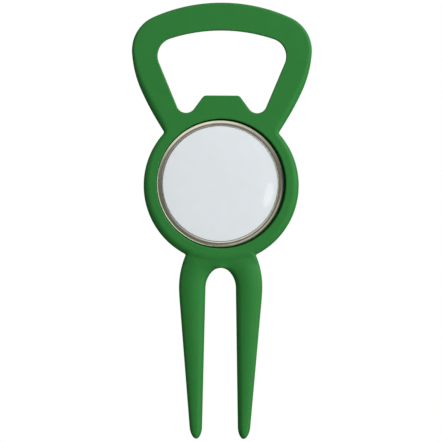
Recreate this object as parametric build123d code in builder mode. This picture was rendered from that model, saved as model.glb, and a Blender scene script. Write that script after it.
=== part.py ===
"""Divot repair tool with a bottle-opener head and a magnetic ball marker.

Millimetres. The tool lies on its flat back: +Z points out of its face, +Y towards the opener
head, and the fork points along -Y. The origin is on the axis of the marker's seat, in the
plane of the back.
"""
from build123d import *
import math
import os

os.makedirs("parts", exist_ok=True)

# ---- Casting: opener head, ring round the marker's seat, and fork, in one piece ----
BODY_THICKNESS = 4.0
FACE_ROUND = 1.1            # rounding of the outer edges of the face
BACK_ROUND = 0.6            # rounding of the outer edges of the back
OPENING_ROUND = 0.3         # rounding of the opener's edges, front and back
NOTCH_RADIUS = 0.35         # in plan, where the head meets the ring

RING_RADIUS = 15.5
RING_CENTRE = (0, -0.35)    # the ring is a little thicker below the seat than above it

HEAD_TOP = 36.15            # highest point of the head, on the centre line
HEAD_CURVES = [             # (radius, turn in degrees): crown, shoulder, flank, waist
    (33.45, 24.1),
    (7.3, 69.9),
    (21.95, 20.4),
    (56.0, 7.4),
]
HEAD_TAIL = 5.0             # straight end of the outline, which runs into the ring

OPENING_TOP = 30.6          # highest point of the opener's opening, on the centre line
OPENING_CURVES = [(33.0, 18.3), (3.6, 94.3)]    # top edge, upper corner
OPENING_SIDE = 9.55
LOBE_CURVE = (1.94, 121.0)  # round pocket beside the cap lip
LIP_SLOPE = 2.85            # slanted side of the cap lip
LIP_CORNER = 1.0

# ---- Fork ----
FORK_START = (6.5, -13.1)   # on the outline, under the ring
FORK_START_HEADING = -62.8  # degrees from +X
FORK_CURVES = [(16.6, 29.6), (47.4, 2.4)]       # hip of the fork, upper prong
FORK_TIP = -51.0
TIP_LENGTH = 2.6            # the pointed round end of each prong
FORK_HIDDEN_END = -11.5     # the fork's solid runs this far up, inside the ring
SLOT_TOP = -16.85
SLOT_CURVES = [(2.4, 47.7), (4.8, 41.2)]        # arch over the slot, and its shoulder
ROOT_THICKNESS = 3.7        # under the ring's edge
TIP_THICKNESS = 2.0
FORK_FACE_ROUND = 1.1
FORK_BACK_ROUND = 0.6

# ---- Marker's seat and magnet ----
SEAT_RADIUS = 12.9
SEAT_DEPTH = 1.5
SEAT_EDGE = 0.2
MAGNET_RADIUS = 5.0
MAGNET_THICKNESS = 1.5
MAGNET_CLEARANCE = 0.1
MAGNET_SUNK = 0.05          # the magnet stays this far under the seat's floor
MAGNET_EDGE = 0.15
GLUE_THICKNESS = 0.1

# ---- Ball marker ----
COIN_RADIUS = 12.7          # one inch across
COIN_THICKNESS = 1.65       # at the crest of the rim
COIN_FLOOR = 1.33           # under the label
COIN_FOOT_ROUND = 0.25
RIM_WIDTH = 1.15
RIM_ROUND = 0.28
LABEL_THICKNESS = 0.12
LABEL_CLEARANCE = 0.05
DOME_EDGE = 0.12            # height of the clear dome at its edge
DOME_CROWN = 0.4            # further height at its middle

seat_floor = BODY_THICKNESS - SEAT_DEPTH
pocket_floor = seat_floor - MAGNET_SUNK - MAGNET_THICKNESS - GLUE_THICKNESS
label_radius = COIN_RADIUS - RIM_WIDTH - LABEL_CLEARANCE


def tangent_arcs(start, heading, curves):
    """Add clockwise arcs to the line being built, each tangent to the last, and return it."""
    direction = (math.cos(math.radians(heading)), math.sin(math.radians(heading)))
    for radius, turn in curves:
        arc = JernArc(start, direction, radius, -turn)
        start, direction = arc @ 1, arc % 1
    return arc


def line_to_height(curve, height):
    """Add the straight line that carries a curve on, in its last direction, to a height."""
    reach = (height - (curve @ 1).Y) / (curve % 1).Y
    return Line(curve @ 1, curve @ 1 + curve % 1 * reach)


def close_on_centre_line(lower, upper):
    """Add the lines that shut one half of an outline along the centre line."""
    Line(lower, (0, lower.Y))
    Line((0, lower.Y), upper)


# ---- Plan of the head and ring ----
with BuildSketch() as head_plan:
    with BuildLine():
        flank = tangent_arcs((0, HEAD_TOP), 0, HEAD_CURVES)
        tail = Line(flank @ 1, flank @ 1 + flank % 1 * HEAD_TAIL)
        close_on_centre_line(tail @ 1, (0, HEAD_TOP))
    make_face()
    mirror(about=Plane.YZ)
    with Locations(RING_CENTRE):
        Circle(RING_RADIUS)
    reach = {v: (Vector(v) - Vector(RING_CENTRE)).length for v in head_plan.vertices()}
    fillet([v for v in reach if abs(reach[v] - RING_RADIUS) < 0.001], NOTCH_RADIUS)

with BuildSketch() as opening_plan:
    with BuildLine():
        corner = tangent_arcs((0, OPENING_TOP), 0, OPENING_CURVES)
        side = Line(corner @ 1, corner @ 1 + corner % 1 * OPENING_SIDE)
        lobe = JernArc(side @ 1, side % 1, LOBE_CURVE[0], -LOBE_CURVE[1])
        slope = Line(lobe @ 1, lobe @ 1 + lobe % 1 * LIP_SLOPE)
        to_level = 180 - math.degrees(math.atan2((slope % 1).Y, (slope % 1).X))
        lip = JernArc(slope @ 1, slope % 1, LIP_CORNER, to_level)
        close_on_centre_line(lip @ 1, (0, OPENING_TOP))
    make_face()
    mirror(about=Plane.YZ)

# ---- Plan of the fork ----
with BuildSketch() as fork_plan:
    with BuildLine():
        hip = tangent_arcs(FORK_START, FORK_START_HEADING, FORK_CURVES)
        outer = line_to_height(hip, FORK_TIP + TIP_LENGTH)
        arch = tangent_arcs((0, SLOT_TOP), 0, SLOT_CURVES)
        inner = line_to_height(arch, FORK_TIP + TIP_LENGTH)
        tip_x = ((outer @ 1).X + (inner @ 1).X) / 2
        Spline(
            outer @ 1,
            (tip_x, FORK_TIP),
            inner @ 1,
            tangents=[outer % 1, (-1, 0), -(inner % 1)],
        )
        Line(FORK_START, (FORK_START[0], FORK_HIDDEN_END))
        Line((FORK_START[0], FORK_HIDDEN_END), (0, FORK_HIDDEN_END))
        Line((0, FORK_HIDDEN_END), (0, SLOT_TOP))
    make_face()
    mirror(about=Plane.YZ)

# ---- Fork, thinning towards its tips ----
fall = math.degrees(math.atan((ROOT_THICKNESS - TIP_THICKNESS) / (-RING_RADIUS - FORK_TIP)))
fork_face = Plane((0, -RING_RADIUS, ROOT_THICKNESS)).rotated((fall, 0, 0))


def open_edges(face):
    """The edges of the fork's face or back that stay outside the ring."""
    return [edge for edge in face.edges() if (edge @ 0.5).Y < FORK_START[1]]


with BuildPart() as fork:
    add(fork_plan.sketch)
    extrude(amount=BODY_THICKNESS + 1)
    split(bisect_by=fork_face, keep=Keep.BOTTOM)
    fillet(open_edges(fork.faces().sort_by(Axis.Z)[-1]), FORK_FACE_ROUND)
    fillet(open_edges(fork.faces().sort_by(Axis.Z)[0]), FORK_BACK_ROUND)

# ---- The whole casting ----
with BuildPart() as tool_body:
    add(head_plan.sketch)
    extrude(amount=BODY_THICKNESS)
    fillet(tool_body.faces().sort_by(Axis.Z)[-1].edges(), FACE_ROUND)
    fillet(tool_body.faces().sort_by(Axis.Z)[0].edges(), BACK_ROUND)
    add(opening_plan.sketch)
    extrude(amount=BODY_THICKNESS, mode=Mode.SUBTRACT)
    face = tool_body.faces().sort_by(Axis.Z)[-1]
    back = tool_body.faces().sort_by(Axis.Z)[0]
    fillet(face.inner_wires().edges() + back.inner_wires().edges(), OPENING_ROUND)
    add(fork.part)
    with Locations((0, 0, BODY_THICKNESS)):
        CounterBoreHole(
            MAGNET_RADIUS + MAGNET_CLEARANCE,
            SEAT_RADIUS,
            SEAT_DEPTH,
            BODY_THICKNESS - pocket_floor,
        )
    face_circles = tool_body.faces().sort_by(Axis.Z)[-1].edges().filter_by(GeomType.CIRCLE)
    fillet([edge for edge in face_circles if abs(edge.radius - SEAT_RADIUS) < 0.01], SEAT_EDGE)

# ---- Magnet, glued into its pocket ----
with BuildPart() as magnet_adhesive:
    with BuildSketch(Plane.XY.offset(pocket_floor)):
        Circle(MAGNET_RADIUS)
    extrude(amount=GLUE_THICKNESS)

with BuildPart() as magnet:
    with BuildSketch(Plane.XY.offset(pocket_floor + GLUE_THICKNESS)):
        Circle(MAGNET_RADIUS)
    extrude(amount=MAGNET_THICKNESS)
    fillet(magnet.edges(), MAGNET_EDGE)

# ---- Ball marker: plated blank with a raised rim, label, and clear dome ----
with BuildPart() as marker_coin:
    with BuildSketch(Plane.XY.offset(seat_floor)):
        Circle(COIN_RADIUS)
    extrude(amount=COIN_THICKNESS)
    with BuildSketch(Plane.XY.offset(seat_floor + COIN_FLOOR)):
        Circle(COIN_RADIUS - RIM_WIDTH)
    extrude(amount=COIN_THICKNESS, mode=Mode.SUBTRACT)
    fillet(marker_coin.faces().sort_by(Axis.Z)[-1].edges(), RIM_ROUND)
    fillet(marker_coin.faces().sort_by(Axis.Z)[0].edges(), COIN_FOOT_ROUND)

label_floor = seat_floor + COIN_FLOOR
with BuildPart() as marker_label:
    with BuildSketch(Plane.XY.offset(label_floor)):
        Circle(label_radius)
    extrude(amount=LABEL_THICKNESS)

dome_floor = label_floor + LABEL_THICKNESS
dome_radius = (label_radius**2 + DOME_CROWN**2) / (2 * DOME_CROWN)
with BuildPart() as marker_dome:
    with BuildSketch(Plane.XZ):
        with BuildLine():
            Polyline(
                (0, dome_floor + DOME_EDGE + DOME_CROWN),
                (0, dome_floor),
                (label_radius, dome_floor),
                (label_radius, dome_floor + DOME_EDGE),
            )
            RadiusArc(
                (0, dome_floor + DOME_EDGE + DOME_CROWN),
                (label_radius, dome_floor + DOME_EDGE),
                dome_radius,
            )
        make_face()
    revolve(axis=Axis.Z)

PIECES = {
    "tool_body": tool_body,
    "magnet_adhesive": magnet_adhesive,
    "magnet": magnet,
    "marker_coin": marker_coin,
    "marker_label": marker_label,
    "marker_dome": marker_dome,
}
for name, piece in PIECES.items():
    piece.part.label = name
    export_step(piece.part, f"parts/{name}.step")
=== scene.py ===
"""Looks of the divot repair tool: a green coated casting with a magnetic ball marker in its seat.

The casting's outline is drawn with the same arcs and lines as the CAD part, in millimetres, and
its rounded body is a distance field that is meshed here. The marker, magnet and glue are turned
profiles. Everything is scaled to metres when its mesh is made.
"""

import math

import bpy
import numpy as np
from mathutils import Matrix, Vector


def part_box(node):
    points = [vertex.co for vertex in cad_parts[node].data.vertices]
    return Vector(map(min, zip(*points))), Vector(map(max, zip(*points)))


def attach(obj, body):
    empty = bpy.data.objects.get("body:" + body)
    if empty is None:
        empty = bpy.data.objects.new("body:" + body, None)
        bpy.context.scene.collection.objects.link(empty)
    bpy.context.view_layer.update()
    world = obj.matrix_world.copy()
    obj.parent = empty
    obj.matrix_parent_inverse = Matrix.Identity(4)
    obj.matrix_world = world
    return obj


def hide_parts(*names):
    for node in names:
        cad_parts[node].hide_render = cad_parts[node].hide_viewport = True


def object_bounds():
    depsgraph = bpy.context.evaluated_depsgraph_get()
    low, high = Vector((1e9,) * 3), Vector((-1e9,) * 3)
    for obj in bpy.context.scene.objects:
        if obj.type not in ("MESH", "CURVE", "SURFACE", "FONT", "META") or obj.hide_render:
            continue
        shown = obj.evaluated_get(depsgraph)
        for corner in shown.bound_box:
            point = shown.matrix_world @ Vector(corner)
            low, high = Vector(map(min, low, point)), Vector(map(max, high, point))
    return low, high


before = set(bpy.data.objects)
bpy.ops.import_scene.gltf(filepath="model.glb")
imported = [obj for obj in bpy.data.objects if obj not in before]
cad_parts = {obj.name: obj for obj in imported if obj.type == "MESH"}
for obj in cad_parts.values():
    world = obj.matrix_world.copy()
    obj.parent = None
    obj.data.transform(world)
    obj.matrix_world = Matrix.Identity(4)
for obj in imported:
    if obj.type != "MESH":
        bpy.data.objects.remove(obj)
cad_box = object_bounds()

MM = 0.001

# ---- Sizes taken from the CAD pieces' boxes, in millimetres ----
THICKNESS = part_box("tool_body")[1].z / MM
HEAD_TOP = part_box("tool_body")[1].y / MM
FORK_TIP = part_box("tool_body")[0].y / MM
SEAT_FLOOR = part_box("marker_coin")[0].z / MM
POCKET_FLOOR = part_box("magnet_adhesive")[0].z / MM
GLUE_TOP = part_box("magnet_adhesive")[1].z / MM
MAGNET_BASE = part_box("magnet")[0].z / MM
MAGNET_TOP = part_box("magnet")[1].z / MM
MAGNET_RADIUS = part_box("magnet")[1].x / MM
COIN_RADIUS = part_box("marker_coin")[1].x / MM
RIM_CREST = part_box("marker_coin")[1].z / MM
LABEL_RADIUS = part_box("marker_label")[1].x / MM
LABEL_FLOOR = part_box("marker_label")[0].z / MM
DOME_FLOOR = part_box("marker_dome")[0].z / MM
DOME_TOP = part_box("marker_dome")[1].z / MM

# ---- Outline of the head and its opening; each curve is (radius, turn in degrees) ----
HEAD_CURVES = [(33.45, 24.1), (7.3, 69.9), (21.95, 20.4), (56.0, 7.4)]
OPENING_START = 30.6        # highest point of the opening, on the centre line
OPENING_CURVES = [(33.0, 18.3), (3.6, 94.3)]
OPENING_SIDE = 9.55
LOBE_CURVE = (1.94, 121.0)
LIP_SLOPE = 2.85            # slanted side of the cap lip
LIP_CORNER = 1.0

# ---- Outline of the fork ----
HIP_START = (6.5, -13.1)    # on the outline, under the ring
HIP_HEADING = -62.8         # degrees from +X
HIP_CURVES = [(16.6, 29.6), (47.4, 2.4)]
SLOT_START = -16.85         # highest point of the slot, on the centre line
SLOT_CURVES = [(2.4, 47.7), (4.8, 41.2)]
TIP_LENGTH = 2.4            # the pointed round end of each prong

# ---- Edges and hollows of the head and ring ----
RING_RADIUS = 15.5
RING_Y = -0.35
NOTCH_RADIUS = 0.35         # in plan, where the head meets the ring
BACK_ROUND = 0.6
OPENING_ROUND = 0.22
SEAT_RADIUS = 12.9
SEAT_EDGE = 0.2
SEAT_CORNER = 0.15          # round the seat's floor
POCKET_RADIUS = 5.1
POCKET_EDGE = 0.08

# Width of the rounding along the face's outer edge, at heights from the fork to the head's top.
FACE_ROUND_Y = [-16.0, -8.0, 0.0, 9.5, 12.5, 18.0, 25.0, 31.0, 36.0]
FACE_ROUND = [1.5, 1.45, 1.3, 0.8, 1.4, 1.4, 0.8, 0.5, 0.3]

# ---- Thickness and edges of the fork ----
FORK_CAP = -13.2            # the fork's solid ends here, inside the ring
CAP_ROUND = 1.5             # in plan, at that hidden end
FORK_ROOT = -15.5           # from here the fork's top falls to its tips
ROOT_THICKNESS = 3.7
TIP_THICKNESS = 2.0
OUTER_ROUND = 0.65          # of the prongs' top edges, along the outline
INNER_ROUND = 1.1           # along the slot
ARCH_ROUND = 0.3            # and over the middle of the slot's arch
ROUND_CHANGE = 1.2          # how sharply one round gives way to the other, across a prong
CAMBER = 0.28               # fall of the prong's top to each side, as a share of its half width
CAMBER_START = -14.0        # the fork's top is flat above this height
CAMBER_REACH = 2.0          # and fully cambered this far below it
ARCH_CENTRE = -19.25        # straight above this point the fork is flat and the slot's edge crisp
ARCH_SPREAD = 0.9           # sine of the angle from straight up where that ends
CREASE_ROUND = 0.3          # tight hollow round where the fork meets the ring
CREASE_DEPTH = 0.7          # the fork's top meets the ring's rounding this far inside its outline
HOLLOW_RISE = 0.14          # and rises this much towards it
HOLLOW_WIDTH = 1.6          # over this distance
LEAST_HALF_WIDTH = 0.3      # of a prong, where its two outlines meet or cross
LEAST_SLOPE = 0.3           # of the measure that the prong's distance is worked out from

# ---- Grid that the casting is meshed on ----
CELL = 0.23
GRID_SIDE = 18.5            # half its width
GRID_FLOOR = -0.37
GRID_MARGIN = 0.5           # past the fork's tips, the head's top and the face
INSET = 0.005               # keeps the mesh just inside the CAD part's box

# ---- Turned pieces ----
FLAT_RING = 3.0             # a ring of points here keeps the small discs' flat ends evenly shaded
MARKER_REST = (-0.19 * MM, 0, 0)    # the marker lies loose in its seat, against one side


# ---- Outlines of tangent arcs and lines ----
class Outline:
    """Arcs and lines, each tangent to the last, from a point with a heading in degrees from +X."""

    def __init__(self, x, y, heading):
        self.x = x
        self.y = y
        self.heading = math.radians(heading)
        self.steps = []

    def line(self, length):
        along = math.cos(self.heading), math.sin(self.heading)
        self.steps.append(("line", self.x, self.y, along, length))
        self.x += along[0] * length
        self.y += along[1] * length
        return self

    def arc(self, radius, turn):
        """A positive turn is to the right, in degrees."""
        side = math.copysign(1, turn)
        cx = self.x + side * radius * math.sin(self.heading)
        cy = self.y - side * radius * math.cos(self.heading)
        middle = self.heading + side * math.pi / 2 - math.radians(turn) / 2
        outward = math.cos(middle), math.sin(middle)
        self.steps.append(("arc", cx, cy, outward, radius, side, math.radians(abs(turn)) / 2))
        self.heading -= math.radians(turn)
        self.x = cx - side * radius * math.sin(self.heading)
        self.y = cy + side * radius * math.cos(self.heading)
        return self

    def arcs(self, curves):
        for radius, turn in curves:
            self.arc(radius, turn)
        return self

    def depth(self, x, y):
        """How far each point is to the right of the outline; negative to its left."""
        best = np.full(np.broadcast(x, y).shape, np.inf)
        for kind, ox, oy, way, *rest in self.steps:
            dx, dy = x - ox, y - oy
            if kind == "line":
                depth = dx * way[1] - dy * way[0]
                reach = dx * way[0] + dy * way[1]
                beside = (reach >= -1e-9) & (reach <= rest[0] + 1e-9)
            else:
                radius, side, half_turn = rest
                away = np.hypot(dx, dy)
                depth = side * (radius - away)
                beside = dx * way[0] + dy * way[1] >= away * math.cos(half_turn) - 1e-9
            best = np.where(beside & (np.abs(depth) < np.abs(best)), depth, best)
        return np.where(np.isinf(best), -1.0, best)


FAR = 40.0                  # lines that carry an open outline on past its ends

HEAD = Outline(0, HEAD_TOP, 0).arcs(HEAD_CURVES).line(FAR)

OPENING = Outline(0, OPENING_START, 0).arcs(OPENING_CURVES).line(OPENING_SIDE)
OPENING.arc(*LOBE_CURVE).line(LIP_SLOPE)
OPENING.arc(LIP_CORNER, math.degrees(OPENING.heading) + 180).line(FAR)

HIP = Outline(
    HIP_START[0] - FAR * math.cos(math.radians(HIP_HEADING)),
    HIP_START[1] - FAR * math.sin(math.radians(HIP_HEADING)),
    HIP_HEADING,
)
HIP.line(FAR).arcs(HIP_CURVES).line(FAR)

SLOT = Outline(0, SLOT_START, 0).arcs(SLOT_CURVES).line(FAR)


# ---- Distance fields: negative inside the metal ----
def joined(a, b, radius):
    """The union of two fields, with a hollow round where they meet."""
    corner = np.hypot(np.maximum(radius - a, 0), np.maximum(radius - b, 0))
    return np.maximum(radius, np.minimum(a, b)) - corner


def common(a, b, radius):
    """What lies in both fields, with a rounded edge where they meet."""
    corner = np.hypot(np.maximum(radius + a, 0), np.maximum(radius + b, 0))
    return np.minimum(-radius, np.maximum(a, b)) + corner


def prong_plan(across, y):
    """Distance from the prong's outline in plan, its half width, and the place across it.

    The place across it runs from -1 at the slot to 1 at the outer outline.
    """
    outer = -common(y - FORK_CAP, -HIP.depth(across, y), CAP_ROUND)
    inner = -SLOT.depth(across, y)
    half = np.maximum((outer + inner) / 2, LEAST_HALF_WIDTH)
    side = (inner - outer) / (2 * half)
    past = np.maximum(FORK_TIP + TIP_LENGTH - y, 0) / TIP_LENGTH
    level = np.maximum(np.hypot(side, past), 1e-6)
    slope = np.maximum(np.hypot(side, half * past / TIP_LENGTH) / level, LEAST_SLOPE)
    return half * (level - 1) / slope, half, side


def fork(across, y, z):
    """Both prongs and the web between them, cambered except over the arch of the slot."""
    edge, half, side = prong_plan(across, y)

    from_arch = np.hypot(across, np.maximum(y - ARCH_CENTRE, 0))
    beside_arch = np.clip(across / np.maximum(from_arch, 1e-6) / ARCH_SPREAD, 0, 1)
    beside_arch = beside_arch**2 * (3 - 2 * beside_arch)

    fall = (ROOT_THICKNESS - TIP_THICKNESS) / (FORK_ROOT - FORK_TIP)
    crown = np.minimum(ROOT_THICKNESS + (y - FORK_ROOT) * fall, ROOT_THICKNESS)
    below_ring = np.clip((CAMBER_START - y) / CAMBER_REACH, 0, 1)
    from_crease = np.hypot(across, y - RING_Y) - RING_RADIUS + CREASE_DEPTH
    hollow = HOLLOW_RISE * np.clip(1 - from_crease / HOLLOW_WIDTH, 0, 1)**2
    crown = crown - CAMBER * below_ring * beside_arch * half * side**2 + hollow

    by_slot = np.clip(0.5 - ROUND_CHANGE * side, 0, 1)
    inner_round = ARCH_ROUND + beside_arch * (INNER_ROUND - ARCH_ROUND)
    prong = common(edge, z - crown, OUTER_ROUND + by_slot * (inner_round - OUTER_ROUND))
    return common(prong, -z, BACK_ROUND)


def casting(x, y, z):
    """Head, ring and fork in one, less the opening, the marker's seat and the magnet's pocket."""
    across = np.abs(x)
    from_axis = np.hypot(x, y)
    plan = joined(-HEAD.depth(across, y), np.hypot(x, y - RING_Y) - RING_RADIUS, NOTCH_RADIUS)
    metal = common(plan, z - THICKNESS, np.interp(y, FACE_ROUND_Y, FACE_ROUND))
    metal = common(metal, -z, BACK_ROUND)
    metal = joined(metal, fork(across, y, z), CREASE_ROUND)
    metal = np.maximum(metal, -z)
    metal = common(metal, OPENING.depth(across, y), OPENING_ROUND)
    seat = common(from_axis - SEAT_RADIUS, SEAT_FLOOR - z, SEAT_CORNER)
    metal = common(metal, -seat, SEAT_EDGE)
    pocket = np.maximum(from_axis - POCKET_RADIUS, POCKET_FLOOR - z)
    return common(metal, -pocket, POCKET_EDGE) + INSET


def gradient(field, points, step=0.004):
    """The field's gradient at each point, by central differences."""
    parts = []
    for axis in range(3):
        shift = np.zeros(3)
        shift[axis] = step
        parts.append(field(*(points + shift).T) - field(*(points - shift).T))
    return np.stack(parts, 1) / (2 * step)


# ---- Meshes ----
def surface_net(field, low, high, cell):
    """Corners and quads of the closed surface where the field is zero."""
    axes = [np.arange(a, b + cell, cell) for a, b in zip(low, high)]
    value = field(axes[0][:, None, None], axes[1][None, :, None], axes[2][None, None, :])
    inside = value < 0

    # Each cell that the surface passes through gets one point.
    corners = [(i, j, k) for i in (0, 1) for j in (0, 1) for k in (0, 1)]
    size = [n - 1 for n in inside.shape]
    total = sum(
        inside[i:i + size[0], j:j + size[1], k:k + size[2]].astype(np.int8) for i, j, k in corners
    )
    cells = np.argwhere((total > 0) & (total < 8))
    index = np.full(size, -1)
    index[tuple(cells.T)] = np.arange(len(cells))

    # The point is the mean of the places where the surface crosses the cell's edges.
    place = np.zeros((len(cells), 3))
    crossings = np.zeros(len(cells))
    for corner in corners:
        for axis in range(3):
            if corner[axis]:
                continue
            start = cells + corner
            end = start.copy()
            end[:, axis] += 1
            a, b = value[tuple(start.T)], value[tuple(end.T)]
            crossed = (a < 0) != (b < 0)
            share = np.where(crossed, a / np.where(crossed, a - b, 1), 0)
            point = np.array(corner, float) + share[:, None] * np.eye(3)[axis]
            place += point * crossed[:, None]
            crossings += crossed
    points = np.array(low) + (cells + place / crossings[:, None]) * cell

    # Each grid edge that the surface crosses gets one quad, through the four cells round it.
    quads = []
    for axis in range(3):
        before = [slice(None)] * 3
        after = [slice(None)] * 3
        before[axis], after[axis] = slice(None, -1), slice(1, None)
        low_in, high_in = inside[tuple(before)], inside[tuple(after)]
        edges = np.argwhere(low_in != high_in)
        u, v = np.eye(3, dtype=int)[(axis + 1) % 3], np.eye(3, dtype=int)[(axis + 2) % 3]
        around = [edges - u - v, edges - v, edges, edges - u]
        quad = np.stack([index[tuple(c.T)] for c in around], 1)
        flip = ~low_in[tuple(edges.T)]
        quad[flip] = quad[flip][:, ::-1]
        quads.append(quad)
    return points, np.concatenate(quads)


def smooth_mesh(name, points, faces, normals=None):
    """A smooth-shaded object from points in millimetres."""
    mesh = bpy.data.meshes.new(name)
    corners = [tuple(p) for p in np.asarray(points) * MM]
    mesh.from_pydata(corners, [], [tuple(map(int, face)) for face in faces])
    mesh.shade_smooth()
    if normals is not None:
        mesh.normals_split_custom_set_from_vertices([tuple(n) for n in normals])
    piece = bpy.data.objects.new(name, mesh)
    bpy.context.scene.collection.objects.link(piece)
    return piece


def make_casting():
    """The casting's mesh, with its points moved onto the field's surface in a few passes."""
    low = (-GRID_SIDE, FORK_TIP - GRID_MARGIN, GRID_FLOOR)
    high = (GRID_SIDE, HEAD_TOP + GRID_MARGIN, THICKNESS + GRID_MARGIN)
    points, quads = surface_net(casting, low, high, CELL)
    for _ in range(4):
        slope = gradient(casting, points)
        step = casting(*points.T) / np.maximum((slope**2).sum(1), 0.05)
        points -= slope * np.clip(step, -CELL / 2, CELL / 2)[:, None]
    normals = gradient(casting, points)
    normals /= np.linalg.norm(normals, axis=1)[:, None]
    return smooth_mesh("casting", points, quads, normals)


# ---- Turned pieces ----
def corner_arc(r, z, radius, start, end, count=8):
    """Points of a rounded corner in a turned profile, about (r, z), from one angle to another."""
    angles = [math.radians(start + (end - start) * i / count) for i in range(count + 1)]
    return [(r + radius * math.cos(a), z + radius * math.sin(a)) for a in angles]


def turned(name, profile, segments=256):
    """A closed solid from a profile of (radius, height) that starts and ends on the axis."""
    points, faces = [], []
    rings = []
    for r, z in profile:
        if r < 1e-6:
            rings.append([len(points)])
            points.append((0, 0, z))
        else:
            rings.append(list(range(len(points), len(points) + segments)))
            for i in range(segments):
                a = 2 * math.pi * i / segments
                points.append((r * math.cos(a), r * math.sin(a), z))
    for a, b in zip(rings, rings[1:]):
        for i in range(segments):
            j = (i + 1) % segments
            ring = [a[i % len(a)], a[j % len(a)], b[j % len(b)], b[i % len(b)]]
            faces.append(list(dict.fromkeys(ring)))
    return smooth_mesh(name, points, faces)


def make_marker_blank():
    """The plated blank: flat underside, rounded foot, and a raised rim round the label."""
    foot = 0.25
    underside = 12.3            # last ring of points on the flat underside
    inner = LABEL_RADIUS + 0.05
    crest = inner + 0.33        # radius of the rim's highest circle
    outside = 0.45              # fall of the rim from its crest to its outer side
    inside = RIM_CREST - LABEL_FLOOR - 0.02     # and to its inner side
    fullness = 0.95             # 1 makes the rim's two sides quarter ellipses; less is fuller
    steps = 36
    profile = [(0, SEAT_FLOOR), (underside, SEAT_FLOOR)]
    profile += corner_arc(COIN_RADIUS - foot, SEAT_FLOOR + foot, foot, -90, 0)
    for i in range(steps + 1):
        a = math.pi * i / steps
        reach, rise = (COIN_RADIUS, outside) if a < math.pi / 2 else (inner, inside)
        r = crest + (reach - crest) * abs(math.cos(a)) ** fullness
        profile.append((r, RIM_CREST - rise + rise * math.sin(a) ** fullness))
    profile += [(inner, LABEL_FLOOR), (0, LABEL_FLOOR)]
    return turned("marker_blank", profile)


def make_label():
    """The white disc, with its edges broken."""
    edge = 0.03
    profile = [
        (0, LABEL_FLOOR),
        (LABEL_RADIUS - edge, LABEL_FLOOR),
        (LABEL_RADIUS, LABEL_FLOOR + edge),
        (LABEL_RADIUS, DOME_FLOOR - edge),
        (LABEL_RADIUS - edge, DOME_FLOOR),
        (LABEL_RADIUS - 2 * edge, DOME_FLOOR),
        (0, DOME_FLOOR),
    ]
    return turned("label_disc", profile)


def make_dome():
    """The clear dome, nearly flat in the middle and steepest near its edge."""
    base = DOME_FLOOR - 0.03    # sunk to where the label's edge is broken
    foot = 0.05
    edge = 0.13                 # height of its side
    middle = 6.0                # a ring of points on the flat base
    rings = 40
    spacing = 0.9               # less than 1 sets the rings closer together near the edge
    flatness = 4.5
    fullness = 0.75
    profile = [(0, base), (middle, base), (LABEL_RADIUS - foot, base)]
    profile += [(LABEL_RADIUS, base + foot), (LABEL_RADIUS, base + edge)]
    for i in range(1, rings + 1):
        share = math.cos(math.pi / 2 * i / rings) ** spacing if i < rings else 0
        z = base + edge + (DOME_TOP - base - edge) * (1 - share**flatness) ** fullness
        profile.append((LABEL_RADIUS * share, z))
    return turned("dome_cap", profile)


def make_magnet():
    """The plated disc, with rounded edges."""
    edge = 0.15
    profile = [(0, MAGNET_BASE), (FLAT_RING, MAGNET_BASE)]
    profile += corner_arc(MAGNET_RADIUS - edge, MAGNET_BASE + edge, edge, -90, 0, 5)
    profile += corner_arc(MAGNET_RADIUS - edge, MAGNET_TOP - edge, edge, 0, 90, 5)
    profile += [(FLAT_RING, MAGNET_TOP), (0, MAGNET_TOP)]
    return turned("magnet_disc", profile, 128)


def make_glue():
    """Glue under the magnet, with the thin wall that it squeezes up round the magnet's side."""
    clear = (POCKET_RADIUS - MAGNET_RADIUS) * 0.1
    outer = POCKET_RADIUS - clear
    inner = MAGNET_RADIUS + clear
    top = MAGNET_TOP - 0.25     # lowest line of the wall's top, which climbs to each side
    profile = [
        (0, POCKET_FLOOR),
        (outer, POCKET_FLOOR),
        (outer, top + 0.06),
        ((outer + inner) / 2, top),
        (inner, top + 0.03),
        (inner, GLUE_TOP),
        (FLAT_RING, GLUE_TOP),
        (0, GLUE_TOP),
    ]
    return turned("glue_bed", profile, 128)


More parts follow.
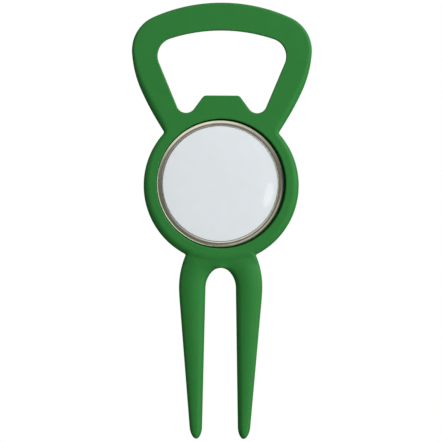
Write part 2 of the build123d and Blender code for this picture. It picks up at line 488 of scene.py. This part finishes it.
# ---- Materials ----
class Paint:
    """A node material with one Principled shader, built up a step at a time."""

    def __init__(self, name):
        self.material = bpy.data.materials.new(name)
        self.material.use_nodes = True
        self.tree = self.material.node_tree
        self.shader = self.tree.nodes["Principled BSDF"]
        self.place = self.add("ShaderNodeTexCoord").outputs["Object"]

    def add(self, kind, **settings):
        node = self.tree.nodes.new(kind)
        for key, value in settings.items():
            setattr(node, key, value)
        return node

    def link(self, output, target):
        self.tree.links.new(output, target)

    def set(self, **values):
        """Constants on the shader's own sockets, named with underscores for spaces."""
        for key, value in values.items():
            self.shader.inputs[key.replace("_", " ")].default_value = value

    def noise(self, size_mm, detail=2.0, place=None):
        """Noise of about this size, in the piece's own coordinates unless others are given."""
        node = self.add("ShaderNodeTexNoise")
        node.inputs["Scale"].default_value = 1 / (size_mm * MM)
        node.inputs["Detail"].default_value = detail
        self.link(place or self.place, node.inputs["Vector"])
        return node.outputs["Fac"]

    def roughness(self, value, low, high):
        """Roughness from low to high over a noise value's middle range."""
        node = self.add("ShaderNodeMapRange")
        node.inputs["From Min"].default_value = 0.3
        node.inputs["From Max"].default_value = 0.7
        node.inputs["To Min"].default_value = low
        node.inputs["To Max"].default_value = high
        self.link(value, node.inputs["Value"])
        self.link(node.outputs["Result"], self.shader.inputs["Roughness"])

    def colours(self, value, low, high):
        """Base colour from low to high over a noise value's middle range."""
        node = self.add("ShaderNodeValToRGB")
        ends = node.color_ramp.elements
        for end, position, colour in zip(ends, (0.35, 0.65), (low, high)):
            end.position = position
            end.color = (*colour, 1)
        self.link(value, node.inputs["Fac"])
        self.link(node.outputs["Color"], self.shader.inputs["Base Color"])

    def bump(self, value, depth_mm, strength, under=None, shader=None):
        """Bump on the shader, on top of another bump if one is given."""
        node = self.add("ShaderNodeBump")
        node.inputs["Distance"].default_value = depth_mm * MM
        node.inputs["Strength"].default_value = strength
        self.link(value, node.inputs["Height"])
        if under:
            self.link(under, node.inputs["Normal"])
        self.link(node.outputs["Normal"], (shader or self.shader).inputs["Normal"])
        return node.outputs["Normal"]

    def rings(self):
        """Coordinates that run along circles about the Z axis, for turned or polished marks."""
        per_radian = 0.4 * MM
        split = self.add("ShaderNodeSeparateXYZ")
        self.link(self.place, split.inputs[0])
        angle = self.add("ShaderNodeMath", operation="ARCTAN2")
        self.link(split.outputs["Y"], angle.inputs[0])
        self.link(split.outputs["X"], angle.inputs[1])
        along = self.add("ShaderNodeMath", operation="MULTIPLY")
        self.link(angle.outputs[0], along.inputs[0])
        along.inputs[1].default_value = per_radian
        flat = self.add("ShaderNodeVectorMath", operation="MULTIPLY")
        self.link(self.place, flat.inputs[0])
        flat.inputs[1].default_value = (1, 1, 0)
        reach = self.add("ShaderNodeVectorMath", operation="LENGTH")
        self.link(flat.outputs[0], reach.inputs[0])
        join = self.add("ShaderNodeCombineXYZ")
        self.link(reach.outputs["Value"], join.inputs["X"])
        self.link(along.outputs[0], join.inputs["Y"])
        self.link(split.outputs["Z"], join.inputs["Z"])
        return join.outputs[0]

    def mix(self, share, first, second):
        """Two shaders mixed by a share of the second, as the material's surface."""
        node = self.add("ShaderNodeMixShader")
        self.link(share, node.inputs["Fac"])
        self.link(first.outputs[0], node.inputs[1])
        self.link(second.outputs[0], node.inputs[2])
        self.link(node.outputs[0], self.tree.nodes["Material Output"].inputs["Surface"])


def green_coat():
    """Semi-matt green coating, with a faint orange peel and a finer grain on it."""
    p = Paint("green_coat")
    p.set(Specular_IOR_Level=0.15)
    p.colours(p.noise(3.5, 3.0), (0.0226, 0.182, 0.0322), (0.0250, 0.189, 0.0345))
    p.roughness(p.noise(0.8, 3.0), 0.50, 0.60)
    peel = p.bump(p.noise(0.9, 1.0), 0.01, 0.12)
    p.bump(p.noise(0.16, 2.0), 0.004, 0.25, peel)
    return p.material


def nickel_plate():
    """Warm bright plating, polished in circles about the marker's axis."""
    p = Paint("nickel_plate")
    p.set(Metallic=1.0)
    p.colours(p.noise(1.5), (0.60, 0.575, 0.46), (0.65, 0.62, 0.50))
    circles = p.rings()
    p.roughness(p.noise(0.05, 2.0, circles), 0.2, 0.3)
    p.bump(p.noise(0.04, 2.0, circles), 0.002, 0.15)
    return p.material


def magnet_plate():
    """Bare plating of the magnet, a little uneven."""
    p = Paint("magnet_plating")
    p.set(Metallic=1.0)
    p.colours(p.noise(0.7), (0.59, 0.59, 0.61), (0.64, 0.64, 0.66))
    p.roughness(p.noise(0.25, 3.0), 0.19, 0.24)
    p.bump(p.noise(0.1, 2.0), 0.002, 0.12)
    return p.material


def cured_glue():
    """Amber glue, lumpy where it was squeezed out."""
    p = Paint("cured_glue")
    p.set(IOR=1.5, Subsurface_Weight=0.2, Subsurface_Scale=0.0005)
    p.colours(p.noise(0.6), (0.42, 0.36, 0.2), (0.55, 0.48, 0.3))
    p.roughness(p.noise(0.3), 0.2, 0.4)
    p.bump(p.noise(0.35, 2.0), 0.02, 0.4)
    return p.material


def white_label():
    """Plain cool white, slightly fibrous."""
    p = Paint("white_label")
    p.set(IOR=1.45)
    p.colours(p.noise(2.5, 2.0), (0.885, 0.915, 0.955), (0.9, 0.93, 0.97))
    p.roughness(p.noise(0.2, 3.0), 0.45, 0.6)
    p.bump(p.noise(0.12, 2.0), 0.002, 0.15)
    return p.material


def clear_dome():
    """A clear coat that lets the label show unbent, and mirrors more at a glancing angle."""
    p = Paint("clear_dome")
    clear = p.add("ShaderNodeBsdfTransparent")
    clear.inputs["Color"].default_value = (0.985, 0.995, 0.99, 1)
    gloss = p.add("ShaderNodeBsdfGlossy")
    gloss.inputs["Roughness"].default_value = 0.06
    p.bump(p.noise(1.8, 1.0), 0.004, 0.2, shader=gloss)
    facing = p.add("ShaderNodeLayerWeight")
    facing.inputs["Blend"].default_value = 0.5
    steep = p.add("ShaderNodeMath", operation="POWER")
    p.link(facing.outputs["Facing"], steep.inputs[0])
    steep.inputs[1].default_value = 5.0
    mirrored = p.add("ShaderNodeMapRange")
    mirrored.inputs["To Min"].default_value = 0.04
    p.link(steep.outputs[0], mirrored.inputs["Value"])
    p.mix(mirrored.outputs["Result"], clear, gloss)
    p.tree.nodes.remove(p.shader)
    return p.material


def pale_floor():
    """The floor's white. Only the camera sees it this bright, so it doesn't flood the edges."""
    p = Paint("pale_floor")
    p.set(Roughness=0.9)
    p.colours(p.noise(60.0), (0.10, 0.10, 0.10), (0.12, 0.12, 0.12))
    glow = p.add("ShaderNodeEmission")
    glow.inputs["Strength"].default_value = 1.0
    ray = p.add("ShaderNodeLightPath")
    p.mix(ray.outputs["Is Camera Ray"], p.shader, glow)
    return p.material


# ---- The object ----
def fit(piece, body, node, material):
    """Give a piece its material, and put it on its body in place of a CAD node."""
    piece.data.materials.append(material)
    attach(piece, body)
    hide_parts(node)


tool, magnet, glue = make_casting(), make_magnet(), make_glue()
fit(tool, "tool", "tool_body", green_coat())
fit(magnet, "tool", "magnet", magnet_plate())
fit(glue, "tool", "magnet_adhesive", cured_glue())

blank, label, dome = make_marker_blank(), make_label(), make_dome()
for piece in (blank, label, dome):
    piece.data.transform(Matrix.Translation(MARKER_REST))
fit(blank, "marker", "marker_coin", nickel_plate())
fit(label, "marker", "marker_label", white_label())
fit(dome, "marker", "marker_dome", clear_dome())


# ---- Stage ----
def make_floor():
    """A wide plane just clear of the tool's back."""
    half = 3000.0
    points = [(-half, -half, 0), (half, -half, 0), (half, half, 0), (-half, half, 0)]
    floor = smooth_mesh("floor", points, [(0, 1, 2, 3)])
    floor.location.z = cad_box[0].z - 0.02 * MM
    floor.data.materials.append(pale_floor())


def area_light(name, direction, distance, size, power, pieces):
    """A light that falls on these pieces, at a distance in a direction, facing the object."""
    data = bpy.data.lights.new(name, "AREA")
    data.shape = "ELLIPSE"
    data.size, data.size_y = size
    data.energy = power
    lamp = bpy.data.objects.new(name, data)
    way = Vector(direction).normalized()
    lamp.location = way * distance
    lamp.rotation_euler = way.to_track_quat("Z", "Y").to_euler()
    lit = bpy.data.collections.new(name + "_lit")
    for piece in pieces:
        lit.objects.link(piece)
    lamp.light_linking.receiver_collection = lit
    bpy.context.scene.collection.objects.link(lamp)


def make_room():
    """A pale room, darker overhead and to both sides, with a broad bright patch beyond the head.

    The right side is the darker one, and the patch fades towards it.
    """
    world = bpy.data.worlds.new("room")
    world.use_nodes = True
    tree = world.node_tree
    way = tree.nodes.new("ShaderNodeTexCoord")
    split = tree.nodes.new("ShaderNodeSeparateXYZ")
    tree.links.new(way.outputs["Generated"], split.inputs[0])

    def ramp(axis, start, end, low, high):
        node = tree.nodes.new("ShaderNodeMapRange")
        node.interpolation_type = "SMOOTHSTEP"
        node.inputs["From Min"].default_value = start
        node.inputs["From Max"].default_value = end
        node.inputs["To Min"].default_value = low
        node.inputs["To Max"].default_value = high
        tree.links.new(split.outputs[axis], node.inputs["Value"])
        return node.outputs["Result"]

    def combine(operation, a, b):
        node = tree.nodes.new("ShaderNodeMath")
        node.operation = operation
        tree.links.new(a, node.inputs[0])
        tree.links.new(b, node.inputs[1])
        return node.outputs[0]

    sides = combine("MULTIPLY", ramp("X", -0.9, -0.2, 0.7, 1.0), ramp("X", 0.2, 0.9, 1.0, 0.3))
    walls = combine("MULTIPLY", ramp("Z", 0.4, 0.8, 0.31, 0.17), sides)
    patch = combine("MULTIPLY", ramp("Y", 0.1, 0.5, 0.0, 0.75), ramp("X", 0.0, 0.8, 1.0, 0.4))
    level = combine("ADD", walls, patch)
    light = tree.nodes["Background"]
    light.inputs["Color"].default_value = (1, 1, 1, 1)
    tree.links.new(level, light.inputs["Strength"])
    bpy.context.scene.world = world


def make_lights():
    """Lamps that each fall on a few pieces only."""
    # From the upper right, and from low beyond the fork's tips.
    area_light("key", (1.0, 0.5, 0.7), 0.44, (0.6, 0.5), 2.6, [tool, label, glue])
    area_light("fill", (0.5, -0.85, 0.25), 1.0, (0.6, 0.4), 2.6, [tool])

    # Bright bands round the marker's metal rim, and on the bare magnet.
    area_light("rim_left", (-0.8, -0.55, 0.25), 1.0, (2.2, 0.5), 4.5, [blank, magnet])
    area_light("rim_right", (0.4, -0.45, 0.92), 1.0, (1.0, 0.5), 0.78, [blank])
    area_light("rim_top", (-0.2, 0.53, 0.82), 1.0, (0.8, 0.5), 0.52, [blank, magnet])

    # Two highlights near the right edge of the clear dome.
    area_light("crescent", (0.207, -0.045, 0.98), 0.8, (0.078, 0.13), 0.087, [dome])
    area_light("glint", (0.15, 0.14, 0.98), 0.8, (0.05, 0.05), 0.006, [dome])


def make_camera():
    """Straight down on the face, with the head up and leaning a touch to the right."""
    distance = 2.4
    frame_width = 0.0883        # at the middle of the tool's thickness
    aim_y = -7.45               # height on the tool that the camera points at
    data = bpy.data.cameras.new("camera")
    camera = bpy.data.objects.new("camera", data)
    data.sensor_width = 36.0
    data.lens = data.sensor_width * distance / frame_width
    data.clip_end = 20.0
    camera.location = (0, aim_y * MM, THICKNESS / 2 * MM + distance)
    camera.rotation_euler.z = math.radians(0.3)
    bpy.context.scene.collection.objects.link(camera)
    bpy.context.scene.camera = camera


make_floor()
make_room()
make_lights()
make_camera()
bpy.context.scene.view_settings.view_transform = "Standard"
